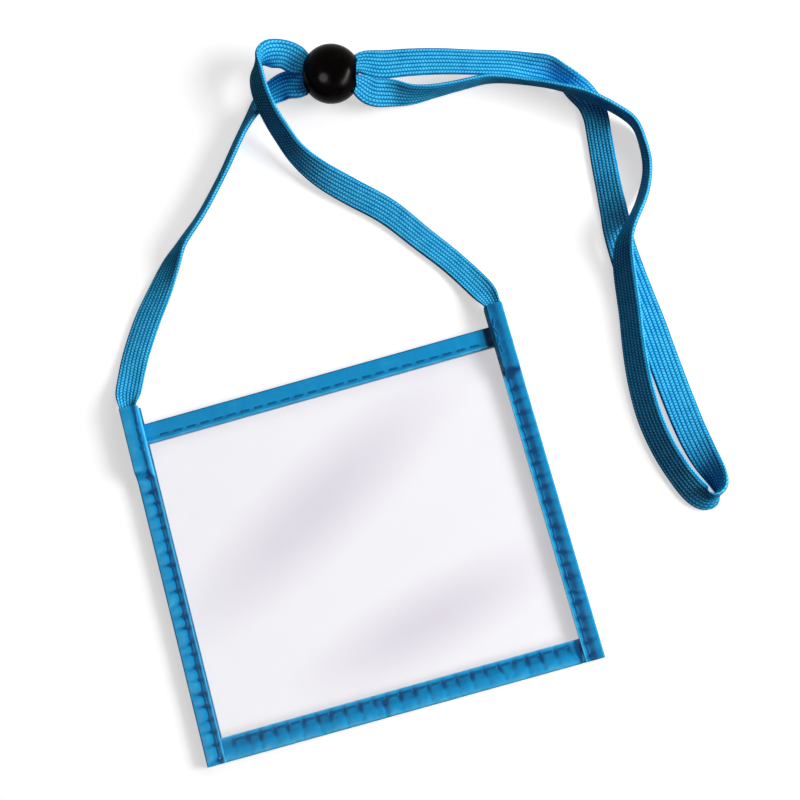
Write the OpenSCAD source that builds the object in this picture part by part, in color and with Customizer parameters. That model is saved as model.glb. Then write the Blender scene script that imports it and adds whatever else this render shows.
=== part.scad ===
// Clear pouch for an identity card, bound in folded tape, on a flat braided neck strap
// with a drilled ball bead that slides along its two strands.
// The pouch lies on its back: +X runs across it, +Y towards its open top, +Z out of its front.
// The origin is the middle of the pouch, on the surface that it lies on.

/* [Pouch] */
// Overall width, over both side tapes
pouch_w = 108; // [80:1:160]
// Overall height, along the side tapes
pouch_h = 98.5; // [70:0.5:150]
// Thickness of each clear vinyl sheet
vinyl_t = 0.25; // [0.15:0.05:0.5]
// Free gap between the two sheets, where the card slides in
card_gap = 0.8; // [0.4:0.1:2]

/* [Binding tapes] */
// Thickness of the coated tape
tape_t = 0.3; // [0.2:0.05:0.45]
// Width of tape seen along each side edge
side_tape_w = 5.2; // [4.6:0.1:9]
// Width of tape seen along the open top edge of each sheet
top_tape_w = 5.4; // [4:0.1:10]
// Width of tape seen along the closed bottom edge
bottom_tape_w = 6.4; // [4:0.1:12]
// How far the side tapes stand above the top tapes
side_rise = 5.3; // [3:0.1:12]
// Largest outer radius of the fold of a tape
fold_r = 1.5; // [0.8:0.1:2.2]

/* [Strap] */
// Width of the braid where it lies flat and free
strap_w = 8; // [6:0.5:12]
// Thickness of the braid where it lies flat and free
strap_t = 1.3; // [0.9:0.1:2]
// Width of each strap end, folded lengthwise inside a side tape
tail_w = 4.4; // [3.5:0.1:6]
// Length of each strap end held inside a side tape
tail_len = 17.5; // [10:0.5:30]

/* [Bead] */
// Diameter of the ball bead
bead_d = 16.5; // [12:0.5:24]
// Length of the bead between its flattened ends
bead_len = 14.6; // [10:0.1:22]
// Diameter of the bore that both strands pass through
bore_d = 6.8; // [6.6:0.1:9]
// Width of the chamfer at each mouth of the bore
bore_chamfer = 0.3; // [0.1:0.05:0.6]

/* [Stitching] */
// Length of one stitch on the surface
stitch_len = 3; // [1.5:0.1:3.2]
// Distance from one stitch to the next along the top and bottom tapes
stitch_pitch = 3.8; // [3.4:0.1:6]
// Distance from one stitch to the next along the side tapes
side_stitch_pitch = 3.5; // [3.4:0.1:6]
// Width of the sewing thread
thread_w = 0.6; // [0.3:0.05:0.8]
// Height of the pressed sewing thread
thread_h = 0.3; // [0.2:0.05:0.5]
// How deep the thread pulls itself into the tape
thread_sunk = 0.12; // [0.05:0.01:0.15]
// Distance of a row of stitches from the free edge of its tape
stitch_inset = 1.3; // [0.8:0.1:2]

/* [Clearances] */
// Gap between an edge of a sheet or tape and the fold round it
edge_gap = 0.05; // [0.02:0.01:0.2]
// Gap round a strap end inside its side tape
tail_gap = 0.1; // [0.05:0.01:0.3]

/* [Hidden] */

tape_blue = [0.13, 0.56, 0.82];
thread_blue = [0.05, 0.36, 0.62];
strap_blue = [0.08, 0.55, 0.80];
vinyl_clear = [0.90, 0.95, 0.98, 0.35];
bead_dark = [0.08, 0.05, 0.05];

// Layers from the back of the pouch to its front, as heights above the surface it lies on
back_tape_z = tape_t;
back_sheet_z = back_tape_z + tape_t;
front_tape_z = back_sheet_z + vinyl_t + tape_t + card_gap;
front_sheet_z = front_tape_z + tape_t;
top_tape_h = vinyl_t + 2 * tape_t;
pocket_top = front_tape_z + top_tape_h;
pouch_t = pocket_top + tape_t;

// The folded strap end, and the taller part of the side tape round it
tail_t = strap_w * strap_t / tail_w;
tail_z = pocket_top + tail_gap + tail_t / 2;
tall_t = pocket_top + tail_t + 2 * tail_gap + tape_t;
tail_x = pouch_w / 2 - tape_t - tail_gap - tail_w / 2;
tall_y = pouch_h / 2 - tail_len - tail_gap;
ramp_len = tall_t - pouch_t;
ramp_tuck = tape_t / 2;

// Edges of the sheets and of the tapes that are tucked under the side tapes
tucked_w = pouch_w - 2 * (min(fold_r, pouch_t / 2) + edge_gap);
top_edge_y = pouch_h / 2 - side_rise;
sheet_top_y = top_edge_y - top_tape_h / 2 - edge_gap;
bottom_tape_h = pocket_top - back_tape_z;
sheet_bottom_y = -pouch_h / 2 + min(fold_r, bottom_tape_h / 2) + edge_gap;

// Rows of stitches
top_row_y = top_edge_y - top_tape_w + stitch_inset;
bottom_row_y = -pouch_h / 2 + bottom_tape_w - stitch_inset;
side_row_x = pouch_w / 2 - side_tape_w + stitch_inset;
across_n = floor((tucked_w - 2 * side_tape_w) / stitch_pitch);
side_row_bottom = -pouch_h / 2 + stitch_inset;
side_row_top = tall_y - ramp_len;
side_n = floor((side_row_top - side_row_bottom) / side_stitch_pitch);
tack_n = floor((tail_len - stitch_inset) / side_stitch_pitch);
side_row_mid = (side_row_bottom + side_row_top) / 2;
tack_mid = (tall_y + pouch_h / 2) / 2;

overrun = 1;
arc_steps = 6;

// Place of the bead's centre, and the turn of its bore about the vertical
bead_x = 26.2;
bead_y = 124;
bead_turn = -16;

// Outline of the braid's cross section, as shares of half its width and half its thickness
section_shares = [
    [1, -0.4], [1, 0.4], [0.7, 1], [-0.7, 1], [-1, 0.4], [-1, -0.4], [-0.7, -1], [0.7, -1]
];

// Route of the strap from the left side tape to the right one. Each row is x, y, z,
// the lean of the braid in degrees and its width. At lean 0 it lies flat, and at 90 or -90
// it stands on edge. It keeps its cross section area where it is drawn narrower.
left_leg_route = [
    [-tail_x, pouch_h / 2, tail_z, 0, tail_w],
    [-50.9, 52.5, 3.2, 0, 7],
    [-49.3, 57, 1.9, -4, 7.4],
    [-46.7, 63, 1.3, -7, 7.6],
    [-41.1, 72, 1.5, -12, 7.8],
    [-35.6, 79, 2.1, -22, 7.8],
    [-30.2, 85.7, 3, -42, 8],
    [-26, 90.3, 3.7, -62, 8],
    [-19.2, 96.3, 3.9, -66, 8],
    [-10.3, 106.2, 3.9, -67, 8],
    [-2.4, 116.1, 3.9, -66, 8],
    [2, 120.8, 3.7, -58, 8],
    [5.8, 124.1, 3.4, -38, 8],
    [10.2, 125.4, 4.4, -10, 8.2],
    [13.6, 124.9, 6, -2, 8.2],
    [16.2, 123.7, 7.4, 0, 6.2],
    [18.5, 124.6, 8.25, 0, 2.9],
    [33.1, 120.4, 8.25, 0, 2.9],
    [35, 116.8, 7.2, 14, 6.6]
];
neck_loop_route = [
    [40.5, 115, 4.8, 42, 8],
    [46.1, 113.3, 4.3, 68, 8],
    [52.9, 112.5, 4.1, 88, 8],
    [60.5, 112.1, 4.1, 95, 8],
    [68.2, 111.6, 4.1, 98, 8],
    [78.5, 107.4, 4.5, 103, 8],
    [85.4, 103.4, 5.8, 102, 8],
    [92.5, 98.2, 6.4, 92, 8],
    [98.8, 92.4, 6.1, 94, 8],
    [102.6, 87.6, 5, 92, 8],
    [103.3, 81.5, 4.2, 88, 8],
    [102.4, 74.5, 4.2, 82, 8],
    [98.5, 66.6, 5.2, 75, 8],
    [94.8, 61.8, 7, 74, 8],
    [91.8, 58.3, 7.5, 68, 8],
    [89.7, 54.6, 6.4, 56, 8],
    [88.5, 50.6, 5.1, 50, 8],
    [87.6, 45.2, 4, 48, 8],
    [86.4, 37.2, 3.5, 48, 8],
    [84.8, 28.5, 3.4, 46, 8],
    [83.5, 18.5, 3.2, 43, 8],
    [83.2, 8.8, 3.1, 42, 8],
    [84.2, 0, 3.2, 43, 8],
    [86.3, -8, 3.2, 43, 8],
    [88.4, -13.2, 3, 40, 8],
    [89.7, -15.3, 3, 41, 8],
    [91.1, -16.8, 3.2, 49, 8],
    [93.1, -17.3, 3.8, 71, 8],
    [94.6, -16.6, 4.1, 90, 8],
    [95.7, -14.6, 3.9, 112, 8],
    [95.4, -11.2, 3.3, 130, 8],
    [94.2, -6.5, 2.6, 150, 8],
    [92.9, 1.5, 1.7, 170, 8.2],
    [92, 12, 1.3, 178, 8.4],
    [91.4, 22.5, 1.2, 180, 8.4],
    [90.9, 33, 1.2, 180, 8.4],
    [90.3, 41.5, 1.2, 178, 8.2],
    [89.8, 50, 1.3, 174, 8],
    [89.7, 56, 1.4, 168, 7.8],
    [89.9, 60.5, 1.4, 168, 7.8],
    [90.4, 65.7, 2.1, 152, 8],
    [90.9, 71.5, 2.2, 152, 7.6],
    [91.9, 80.5, 1.9, 160, 7.2],
    [92.8, 87.9, 1.9, 158, 7.1],
    [93.5, 93.5, 1.6, 166, 7],
    [93, 98.2, 1.2, 170, 7],
    [90.9, 102.3, 2.2, 148, 7.6],
    [89, 105, 3.7, 122, 8],
    [86.9, 107.4, 4.1, 124, 7.8],
    [84.3, 109.6, 4.4, 138, 8.2],
    [80, 111.5, 4.9, 152, 7.4],
    [74.5, 113.8, 5.5, 170, 7],
    [66.5, 116.2, 6.2, 172, 7],
    [55.5, 119.5, 7, 172, 7.4],
    [46.8, 121.5, 7.6, 174, 7.8],
    [40.7, 122.6, 7.9, 178, 8.2]
];
right_leg_route = [
    [36.4, 123.5, 8.4, 180, 5.2],
    [33.9, 123.4, 8.25, 180, 2.9],
    [19.3, 127.6, 8.25, 180, 2.9],
    [18.1, 130.9, 8.5, 176, 7],
    [16, 132.6, 8.7, 171, 8],
    [13.4, 133.8, 9, 166, 8],
    [10.8, 134.4, 9.3, 140, 8],
    [8.3, 133.9, 9.6, 98, 8],
    [6.7, 131.6, 9.7, 70, 8],
    [6.1, 127.8, 10.4, 56, 8],
    [6.1, 122.7, 11, 54, 8],
    [7, 117.2, 9.8, 56, 8],
    [8.6, 112, 7, 54, 8],
    [11, 105.6, 5.3, 50, 7.8],
    [15.5, 98.9, 3.9, 38, 7.8],
    [22.3, 91.9, 2.4, 20, 7.6],
    [30.8, 83.5, 1.6, 9, 7.4],
    [37.7, 73.8, 1.2, 4, 7],
    [44.2, 64.6, 1.1, 0, 6.8],
    [48.8, 56.5, 2, 0, 6.8],
    [50.6, 52.5, 3.2, 0, 6.4],
    [tail_x, pouch_h / 2, tail_z, 0, tail_w]
];
whole_route = concat(
    [[-tail_x, pouch_h / 2 - tail_len, tail_z, 0, tail_w]],
    left_leg_route,
    neck_loop_route,
    right_leg_route,
    [[tail_x, pouch_h / 2 - tail_len, tail_z, 0, tail_w]]
);
left_leg_end = len(left_leg_route);
neck_loop_end = left_leg_end + len(neck_loop_route) + 1;
route_end = len(whole_route) - 1;

function unit(v) = v / norm(v);
function spot(i) = [whole_route[i].x, whole_route[i].y, whole_route[i].z];
function heading(i) = unit(spot(min(i + 1, route_end)) - spot(max(i - 1, 0)));

// The straight strap ends keep the heading of the side tapes that hold them
function ring_heading(i) =
    i <= 1 ? [0, 1, 0] :
    i >= route_end - 1 ? [0, -1, 0] :
    heading(i);

// One ring of the braid: its outline, turned square to the route and leaned about it
function ring(i) =
    let (
        ahead = ring_heading(i),
        left = unit(cross([0, 0, 1], ahead)),
        up = cross(ahead, left),
        lean = whole_route[i][3],
        wide = whole_route[i][4],
        thick = strap_w * strap_t / wide,
        across = left * cos(lean) + up * sin(lean),
        out = cross(ahead, across)
    )
    [for (s = section_shares) spot(i) + across * s.x * wide / 2 + out * s.y * thick / 2];

// Points on an arc, in a plane
function arc(centre, r, from, to) =
    [for (i = [0:arc_steps])
        let (a = from + (to - from) * i / arc_steps)
        centre + r * [cos(a), sin(a)]];

// Half-open outline of a fold: from its lower lip round the fold to its upper lip
function fold_line(depth, height, r) = concat(
    [[depth, 0]],
    arc([r, r], r, 270, 180),
    arc([r, height - r], r, 180, 90),
    [[depth, height]]
);

function fold_radius(height) = min(fold_r, height / 2);
function inner_line(depth, height) =
    [for (p = fold_line(depth - tape_t, height - 2 * tape_t, fold_radius(height) - tape_t))
        p + [tape_t, tape_t]];
function reversed(list) = [for (i = [len(list) - 1:-1:0]) list[i]];

// Cross section of a tape folded round an edge, open towards +X
module folded_section(depth, height) {
    polygon(concat(
        fold_line(depth, height, fold_radius(height)),
        reversed(inner_line(depth, height))
    ));
}

// Turns a section so that it runs along -Y from its place, with its depth along +X
module run_down(length) {
    rotate([90, 0, 0]) linear_extrude(length) children();
}

// Turns a section so that it runs along X about the middle, with its depth along +Y
module run_across(length) {
    rotate([90, 0, 90]) translate([0, 0, -length / 2]) linear_extrude(length) children();
}

module sheet() {
    translate([-tucked_w / 2, sheet_bottom_y, 0])
        cube([tucked_w, sheet_top_y - sheet_bottom_y, vinyl_t]);
}

// A row of stitches along X about the middle, one thread height above its sunk underside
module stitch_row(count, pitch) {
    for (i = [0:count - 1])
        translate([(i - (count - 1) / 2) * pitch - stitch_len / 2, -thread_w / 2, 0])
            cube([stitch_len, thread_w, thread_h]);
}

// The same row along Y
module stitch_column(count, pitch) {
    rotate([0, 0, 90]) stitch_row(count, pitch);
}

// Height of a row's underside on a face that looks up, and on one that looks down. The thread
// under the pouch is drawn in flush, so that the pouch lies on its tape.
function upper_row_z(face) = face - thread_sunk;
under_row_z = thread_sunk - thread_h;

module flush_row_space() {
    intersection() {
        children();
        translate([-pouch_w, -pouch_h, 0]) cube([2 * pouch_w, 2 * pouch_h, thread_h]);
    }
}

module front_top_rows() {
    translate([0, top_row_y, upper_row_z(pocket_top)]) stitch_row(across_n, stitch_pitch);
}

module back_top_rows() {
    translate([0, top_row_y, back_tape_z + under_row_z]) stitch_row(across_n, stitch_pitch);
}

module bottom_rows() {
    translate([0, bottom_row_y, upper_row_z(pocket_top)]) stitch_row(across_n, stitch_pitch);
    translate([0, bottom_row_y, back_tape_z + under_row_z]) stitch_row(across_n, stitch_pitch);
}

module side_rows() {
    translate([side_row_x, side_row_mid, upper_row_z(pouch_t)])
        stitch_column(side_n, side_stitch_pitch);
    flush_row_space()
        translate([side_row_x, side_row_mid, under_row_z])
            stitch_column(side_n, side_stitch_pitch);
}

module tack_rows() {
    translate([side_row_x, tack_mid, upper_row_z(tall_t)])
        stitch_column(tack_n, side_stitch_pitch);
    flush_row_space()
        translate([side_row_x, tack_mid, under_row_z])
            stitch_column(tack_n, side_stitch_pitch);
}

module front_window() {
    color(vinyl_clear) translate([0, 0, front_sheet_z]) sheet();
}

module back_window() {
    color(vinyl_clear) translate([0, 0, back_sheet_z]) sheet();
}

module top_binding(z) {
    translate([0, top_edge_y, z])
        mirror([0, 1, 0])
            run_across(tucked_w) folded_section(top_tape_w, top_tape_h);
}

module front_top_binding() {
    color(tape_blue) difference() {
        top_binding(front_tape_z);
        front_top_rows();
    }
}

module back_top_binding() {
    color(tape_blue) difference() {
        top_binding(back_tape_z);
        back_top_rows();
    }
}

module bottom_binding() {
    color(tape_blue) difference() {
        translate([0, -pouch_h / 2, back_tape_z])
            run_across(tucked_w) folded_section(bottom_tape_w, bottom_tape_h);
        bottom_rows();
    }
}

// Outside of the taller part of a side tape, down to where its slope runs into the lower part
module tall_outside() {
    intersection() {
        translate([0, pouch_h / 2, 0])
            run_down(pouch_h / 2 - tall_y + ramp_len + ramp_tuck)
                polygon(fold_line(side_tape_w, tall_t, fold_radius(tall_t)));
        translate([-overrun, 0, 0]) rotate([90, 0, 90])
            linear_extrude(side_tape_w + 2 * overrun)
                polygon([
                    [pouch_h, -overrun], [pouch_h, tall_t + overrun],
                    [tall_y + overrun, tall_t + overrun],
                    [tall_y - ramp_len - ramp_tuck, pouch_t - ramp_tuck],
                    [tall_y - ramp_len - ramp_tuck, -overrun]
                ]);
    }
}

// Side tape with its fold on the left and its strap end at the top
module side_tape() {
    difference() {
        union() {
            tall_outside();
            translate([0, tall_y, 0])
                run_down(tall_y + pouch_h / 2)
                    polygon(fold_line(side_tape_w, pouch_t, fold_radius(pouch_t)));
        }
        translate([0, pouch_h / 2 + overrun, 0])
            run_down(pouch_h + 2 * overrun)
                polygon(inner_line(side_tape_w + overrun, pouch_t));
        translate([0, pouch_h / 2 + overrun, 0])
            run_down(pouch_h / 2 - tall_y + overrun)
                polygon(inner_line(side_tape_w + overrun, tall_t));
    }
}

module left_binding() {
    color(tape_blue) difference() {
        translate([-pouch_w / 2, 0, 0]) side_tape();
        mirror([1, 0, 0]) side_rows();
        mirror([1, 0, 0]) tack_rows();
    }
}

module right_binding() {
    color(tape_blue) difference() {
        mirror([1, 0, 0]) translate([-pouch_w / 2, 0, 0]) side_tape();
        side_rows();
        tack_rows();
    }
}

module front_top_stitching() {
    color(thread_blue) front_top_rows();
}

module back_top_stitching() {
    color(thread_blue) back_top_rows();
}

module bottom_stitching() {
    color(thread_blue) bottom_rows();
}

module left_stitching() {
    color(thread_blue) mirror([1, 0, 0]) side_rows();
}

module right_stitching() {
    color(thread_blue) side_rows();
}

module left_strap_tack() {
    color(thread_blue) mirror([1, 0, 0]) tack_rows();
}

module right_strap_tack() {
    color(thread_blue) tack_rows();
}

// A stretch of the strap between two points of its route, as one closed tube
module strap_stretch(from, to) {
    sides = len(section_shares);
    rings = to - from + 1;
    points = [for (i = [from:to]) each ring(i)];
    walls = [for (r = [0:rings - 2], s = [0:sides - 1])
        let (a = r * sides + s, b = r * sides + (s + 1) % sides)
        each [[a, a + sides, b], [b, a + sides, b + sides]]];
    last = (rings - 1) * sides;
    start_cap = [for (s = [1:sides - 2]) [0, s, s + 1]];
    end_cap = [for (s = [1:sides - 2]) [last, last + s + 1, last + s]];
    polyhedron(points = points, faces = concat(start_cap, walls, end_cap));
}

module left_leg() {
    color(strap_blue) strap_stretch(0, left_leg_end);
}

module neck_loop() {
    color(strap_blue) strap_stretch(left_leg_end, neck_loop_end);
}

module right_leg() {
    color(strap_blue) strap_stretch(neck_loop_end, route_end);
}

module slider_bead() {
    bore_r = bore_d / 2;
    color(bead_dark)
        translate([bead_x, bead_y, bead_d / 2]) rotate([0, 90, bead_turn]) difference() {
            intersection() {
                sphere(d = bead_d, $fn = 64);
                cylinder(d = bead_d + overrun, h = bead_len, center = true, $fn = 64);
            }
            cylinder(r = bore_r, h = bead_len + 2 * overrun, center = true, $fn = 48);
            for (end = [0, 1]) mirror([0, 0, end])
                translate([0, 0, bead_len / 2 - bore_chamfer])
                    cylinder(r1 = bore_r, r2 = bore_r + bore_chamfer, h = bore_chamfer, $fn = 48);
        }
}

front_window();
back_window();
front_top_binding();
back_top_binding();
bottom_binding();
left_binding();
right_binding();
front_top_stitching();
back_top_stitching();
bottom_stitching();
left_stitching();
right_stitching();
left_strap_tack();
right_strap_tack();
left_leg();
neck_loop();
right_leg();
slider_bead();
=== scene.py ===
"""Dresses the id badge wallet: a clear pouch bound in folded tape, its braided strap and its ball slider.

Every piece is a numpy surface in metres, in the CAD model's own frame: +X across the pouch, +Y towards
its open top, +Z out of its front, with the origin in the middle of the pouch on the table.
"""

import logging
import math
import sys
from dataclasses import dataclass, field
from enum import Enum

import bpy
import numpy as np
from mathutils import Matrix


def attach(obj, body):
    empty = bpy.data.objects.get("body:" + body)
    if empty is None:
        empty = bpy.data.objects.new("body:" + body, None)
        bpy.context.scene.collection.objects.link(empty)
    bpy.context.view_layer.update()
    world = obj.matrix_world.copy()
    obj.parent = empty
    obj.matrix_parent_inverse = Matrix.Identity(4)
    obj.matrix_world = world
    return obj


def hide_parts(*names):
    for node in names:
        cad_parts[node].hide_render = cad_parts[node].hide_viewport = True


Array = np.ndarray
Object = bpy.types.Object
Material = bpy.types.Material
Node = bpy.types.Node
NodeTree = bpy.types.NodeTree
Socket = bpy.types.NodeSocket
LOG = logging.getLogger("badge_wallet")
MM = 0.001
TINY = 1e-9
NOWHERE = (0.0, 0.0, 0.0)
UP = np.array([0.0, 0.0, 1.0])
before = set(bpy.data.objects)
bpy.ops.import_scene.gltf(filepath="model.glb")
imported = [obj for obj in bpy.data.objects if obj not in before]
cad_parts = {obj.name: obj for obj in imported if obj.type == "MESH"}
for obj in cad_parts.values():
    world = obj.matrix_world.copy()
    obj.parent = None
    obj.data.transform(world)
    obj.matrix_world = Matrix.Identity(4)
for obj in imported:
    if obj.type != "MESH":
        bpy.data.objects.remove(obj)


# ---------------------------------------------------------------- shapes


def ease(value: Array, low: float, high: float) -> Array:
    """A smooth step: 0 below low, 1 above high, and 3t^2 - 2t^3 between."""
    share = np.clip((value - low) / (high - low), 0.0, 1.0)
    return share * share * (3.0 - 2.0 * share)


def bell(value: Array, middle: float, spread: float) -> Array:
    """A bell curve of height 1: e to the power of minus ((value - middle) / spread) squared."""
    return np.exp(-(((value - middle) / spread) ** 2))


def hermite(at: Array, knots: Array, rows: Array, slopes: Array) -> Array:
    """Reads a cubic that passes through rows at knots with the given slopes.

    Formula: on each span, the usual four cubic weights of its two ends and of its two end slopes.

    Args:
        at: places to read, within the knots.
        knots: rising places of the rows.
        rows: the values, one row for each knot.
        slopes: the slopes, one row for each knot.

    Returns:
        One row for each place in at.
    """
    span = np.clip(np.searchsorted(knots, at, side="right") - 1, 0, len(knots) - 2)
    gap = (knots[span + 1] - knots[span])[:, None]
    t = (at - knots[span])[:, None] / gap
    ends = rows[span] * (2 * t**3 - 3 * t**2 + 1) + rows[span + 1] * (3 * t**2 - 2 * t**3)
    bends = slopes[span] * (t**3 - 2 * t**2 + t) + slopes[span + 1] * (t**3 - t**2)
    return ends + bends * gap


def calm_slopes(knots: Array, rows: Array) -> Array:
    """Works out slopes that never overshoot.

    Formula: the harmonic mean of the slopes on both sides, or 0 where they disagree and at the ends.

    Args:
        knots: rising places of the rows.
        rows: the values, one row for each knot.

    Returns:
        The slopes, one row for each knot.
    """
    side = np.diff(rows, axis=0) / np.diff(knots)[:, None]
    before, after = side[:-1], side[1:]
    same = before * after > 0
    mean = np.where(same, 2 * before * after / np.where(same, before + after, 1.0), 0.0)
    return np.concatenate([side[:1] * 0, mean, side[-1:] * 0])


def curve_through(table: tuple[tuple[float, float], ...], at: Array) -> Array:
    """Reads a smooth curve with no overshoot.

    Args:
        table: its (place, value) pairs.
        at: places to read.

    Returns:
        A value for each place, in the same shape.
    """
    pairs = np.array(table, float)
    knots, rows = pairs[:, 0], pairs[:, 1:]
    inside = np.clip(at.ravel(), knots[0], knots[-1])
    return hermite(inside, knots, rows, calm_slopes(knots, rows)).reshape(at.shape)


def run_through(rows: Array, step: float, blur: float) -> Array:
    """Lays a smooth line through rows of x, y, z and other columns, and samples it evenly.

    Formula: a centripetal Catmull-Rom curve for the place and calm cubics for the other columns,
    averaged along the line with a Gaussian of the given blur, both ends held.

    Args:
        rows: one row for each control point, its place first.
        step: distance between samples, in metres.
        blur: the Gaussian's spread along the line, in metres.

    Returns:
        The sampled rows, about step apart.
    """
    chord = np.linalg.norm(np.diff(rows[:, :3], axis=0), axis=1)
    knots = np.concatenate([[0.0], np.cumsum(np.sqrt(chord))])
    gap, side = np.diff(knots)[:, None], np.diff(rows, axis=0) / np.diff(knots)[:, None]
    middle = (side[:-1] * gap[1:] + side[1:] * gap[:-1]) / (gap[:-1] + gap[1:])
    slopes = np.concatenate([side[:1], middle, side[-1:]])
    slopes[:, 3:] = calm_slopes(knots, rows)[:, 3:]
    fine = np.interp(np.linspace(0, len(rows) - 1, 40 * len(rows)), np.arange(len(rows)), knots)
    fine_step = step / 4
    line = evenly(hermite(fine, knots, rows, slopes), fine_step)
    reach = int(3 * blur / fine_step)
    weights = np.exp(-0.5 * (np.arange(-reach, reach + 1) * fine_step / blur) ** 2)
    ahead = 2 * line[:1] - line[reach:0:-1]
    after = 2 * line[-1:] - line[-2 : -reach - 2 : -1]
    padded = np.concatenate([ahead, line, after])
    soft = np.stack([np.convolve(column, weights / weights.sum(), "valid") for column in padded.T], 1)
    return evenly(soft, step)


def evenly(rows: Array, step: float) -> Array:
    """Samples rows again at even distances along the line of their first three columns."""
    walked = lengths_along(rows[:, :3])
    places = np.linspace(0, walked[-1], max(int(round(walked[-1] / step)), 2) + 1)
    return np.stack([np.interp(places, walked, column) for column in rows.T], 1)


def lengths_along(points: Array) -> Array:
    """Distance walked along a line of points, from 0 at its first."""
    return np.concatenate([[0.0], np.cumsum(np.linalg.norm(np.diff(points, axis=0), axis=1))])


def unit(vectors: Array) -> Array:
    """The same vectors at length 1."""
    return vectors / np.linalg.norm(vectors, axis=-1, keepdims=True)


def grid_quads(rows: int, columns: int, wrap: bool = False) -> Array:
    """Numbers the corners of a grid's quads.

    Args:
        rows: count of rows of points.
        columns: count of points in a row.
        wrap: whether each row closes on itself.

    Returns:
        One row of four numbers for each quad.
    """
    r, c = np.meshgrid(np.arange(rows - 1), np.arange(columns if wrap else columns - 1), indexing="ij")
    after = (c + 1) % columns
    corners = [r * columns + c, (r + 1) * columns + c, (r + 1) * columns + after, r * columns + after]
    return np.stack(corners, -1).reshape(-1, 4)


def shell_quads(rows: int, columns: int) -> Array:
    """Numbers the quads of a closed shell between two equal grids, with a rim round their borders.

    Args:
        rows: count of rows of points in a grid.
        columns: count of points in a row.

    Returns:
        One row of four numbers for each quad.
    """
    front = grid_quads(rows, columns)
    total = rows * columns
    back = front[:, ::-1] + total
    numbers = np.arange(total).reshape(rows, columns)
    edge = np.concatenate([numbers[:-1, 0], numbers[-1, :-1], numbers[:0:-1, -1], numbers[0, :0:-1]])
    after = np.roll(edge, -1)
    rim = np.stack([after, edge, edge + total, after + total], 1)
    return np.concatenate([front, back, rim])


def outward(points: Array, faces: list[Array]) -> list[Array]:
    """Turns all faces round if the closed mesh has a negative volume.

    Args:
        points: the mesh's vertices.
        faces: arrays of corner numbers, one array for each count of corners.

    Returns:
        The faces, facing out.
    """
    volume = 0.0
    for part in faces:
        for last in range(2, part.shape[1]):
            a, b, c = points[part[:, 0]], points[part[:, last - 1]], points[part[:, last]]
            volume += float(np.einsum("ij,ij->i", a, np.cross(b, c)).sum())
    return faces if volume > 0 else [part[:, ::-1] for part in faces]


def make_piece(
    name: str, points: Array, faces: list[Array], surface: Array, painted_shading: Array | None = None, sharp: float = 50
) -> Object:
    """Puts a closed numpy mesh into a new object at the origin.

    Args:
        name: the piece's name.
        points: its vertices, in metres.
        faces: arrays of corner numbers, one array for each count of corners.
        surface: a place on the surface for each vertex, in millimetres, kept as the UV map.
        painted_shading: painted shade (below 0) and painted light (above 0) on the cloth at each vertex, from
            -1 to 1.
        sharp: angle in degrees past which an edge is sharp.

    Returns:
        The new object.
    """
    mesh = bpy.data.meshes.new(name)
    faces = outward(points, faces)
    mesh.from_pydata(points.tolist(), [], [face for part in faces for face in part.tolist()])
    corners = np.zeros(len(mesh.loops), np.int32)
    mesh.loops.foreach_get("vertex_index", corners)
    mesh.uv_layers.new(name="surface").data.foreach_set("uv", surface[corners].astype(np.float32).ravel())
    # painted shade and light, kept as a vertex attribute for the material
    if painted_shading is not None:
        layer = mesh.attributes.new("painted_shading", "FLOAT", "POINT")
        layer.data.foreach_set("value", np.clip(painted_shading, -1, 1).astype(np.float32).ravel())
    mesh.shade_smooth()
    mesh.set_sharp_from_angle(angle=math.radians(sharp))
    mesh.validate()
    piece = bpy.data.objects.new(name, mesh)
    bpy.context.scene.collection.objects.link(piece)
    return piece


def dress(piece: Object, finish: Material, slot: str, body: str, *nodes: str) -> None:
    """Gives a piece its looks and its place in the assembly, and reports it.

    Args:
        piece: the piece.
        finish: its material.
        slot: its material slot; not used.
        body: the body that it rides on.
        nodes: the CAD nodes that it stands for.
    """
    piece.data.materials.append(finish)
    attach(piece, body)
    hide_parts(*nodes)
    LOG.info("%s: %d vertices, stands for %s", piece.name, len(piece.data.vertices), ", ".join(nodes))


# ---------------------------------------------------------------- shader nodes


def colour(red: float, green: float, blue: float) -> tuple[float, float, float, float]:
    """A screen colour, 0 to 255 each, as the linear colour that Blender's sockets take."""
    part = [c / 255 for c in (red, green, blue)]
    return (*(c / 12.92 if c <= 0.04045 else ((c + 0.055) / 1.055) ** 2.4 for c in part), 1.0)


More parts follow.
